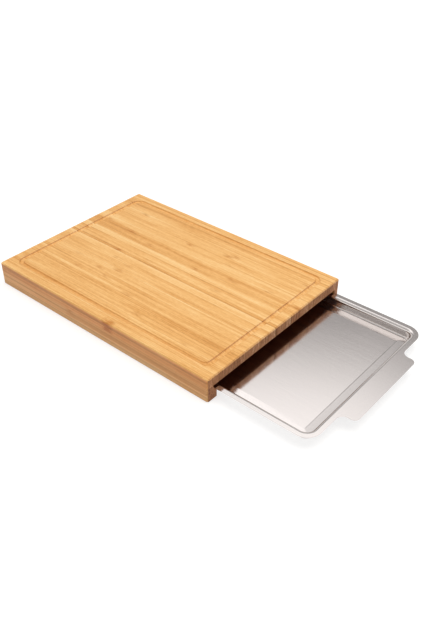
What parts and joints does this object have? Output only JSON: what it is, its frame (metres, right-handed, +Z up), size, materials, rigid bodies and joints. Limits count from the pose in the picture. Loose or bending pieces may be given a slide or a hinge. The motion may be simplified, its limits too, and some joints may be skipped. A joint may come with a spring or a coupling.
{
  "type": "cutting board with drawer tray",
  "caption": "Thick bamboo cutting board with a juice groove on two side rails, and a pressed steel tray that slides in slots under it and draws out at one end by a tab.",
  "frame": {"origin": "on the surface that it stands on, under the middle of the whole object's footprint with the tray drawn out as stored", "axes": "+X is the way the tray draws out, +Z is up, +Y is across the board, to the right rail"},
  "size_m": [0.59, 0.3, 0.038],
  "materials": {
    "panel_strips": "sanded and oiled bamboo, fine straight grain",
    "edge_strips": "sanded and oiled bamboo, fine straight grain",
    "side_rails": "sanded and oiled bamboo, fine straight grain",
    "back_rail": "sanded and oiled bamboo, fine straight grain",
    "tray": "satin stainless sheet"
  },
  "bodies": {
    "board": {"edge_strip_left": "edge_strips", "edge_strip_right": "edge_strips", "panel_strip_01": "panel_strips", "panel_strip_02": "panel_strips", "panel_strip_03": "panel_strips", "panel_strip_04": "panel_strips", "panel_strip_05": "panel_strips", "panel_strip_06": "panel_strips", "panel_strip_07": "panel_strips", "panel_strip_08": "panel_strips", "panel_strip_09": "panel_strips", "panel_strip_10": "panel_strips", "panel_strip_11": "panel_strips", "panel_strip_12": "panel_strips", "panel_strip_13": "panel_strips", "panel_strip_14": "panel_strips", "panel_strip_15": "panel_strips", "panel_strip_16": "panel_strips", "panel_strip_17": "panel_strips", "panel_strip_18": "panel_strips", "panel_strip_19": "panel_strips", "panel_strip_20": "panel_strips", "panel_strip_21": "panel_strips", "panel_strip_22": "panel_strips", "panel_strip_23": "panel_strips", "panel_strip_24": "panel_strips", "panel_strip_25": "panel_strips", "panel_strip_26": "panel_strips", "panel_strip_27": "panel_strips", "panel_strip_28": "panel_strips", "panel_strip_29": "panel_strips", "panel_strip_30": "panel_strips", "panel_strip_31": "panel_strips", "panel_strip_32": "panel_strips", "panel_strip_33": "panel_strips", "panel_strip_34": "panel_strips", "panel_strip_35": "panel_strips", "panel_strip_36": "panel_strips", "panel_strip_37": "panel_strips", "panel_strip_38": "panel_strips", "panel_strip_39": "panel_strips", "panel_strip_40": "panel_strips", "panel_strip_41": "panel_strips", "panel_strip_42": "panel_strips", "panel_strip_43": "panel_strips", "panel_strip_44": "panel_strips", "panel_strip_45": "panel_strips", "panel_strip_46": "panel_strips", "panel_strip_47": "panel_strips", "side_rail_lower_left": "side_rails", "side_rail_lower_right": "side_rails", "side_rail_upper_left": "side_rails", "side_rail_upper_right": "side_rails", "back_rail_lower": "back_rail", "back_rail_upper": "back_rail"},
    "tray": {"tray": "tray"}
  },
  "joints": [
    {"name": "tray_slide", "type": "slide", "parent": "board", "child": "tray", "axis": [1, 0, 0], "range_m": [-0.15, 0.1]}
  ]
}
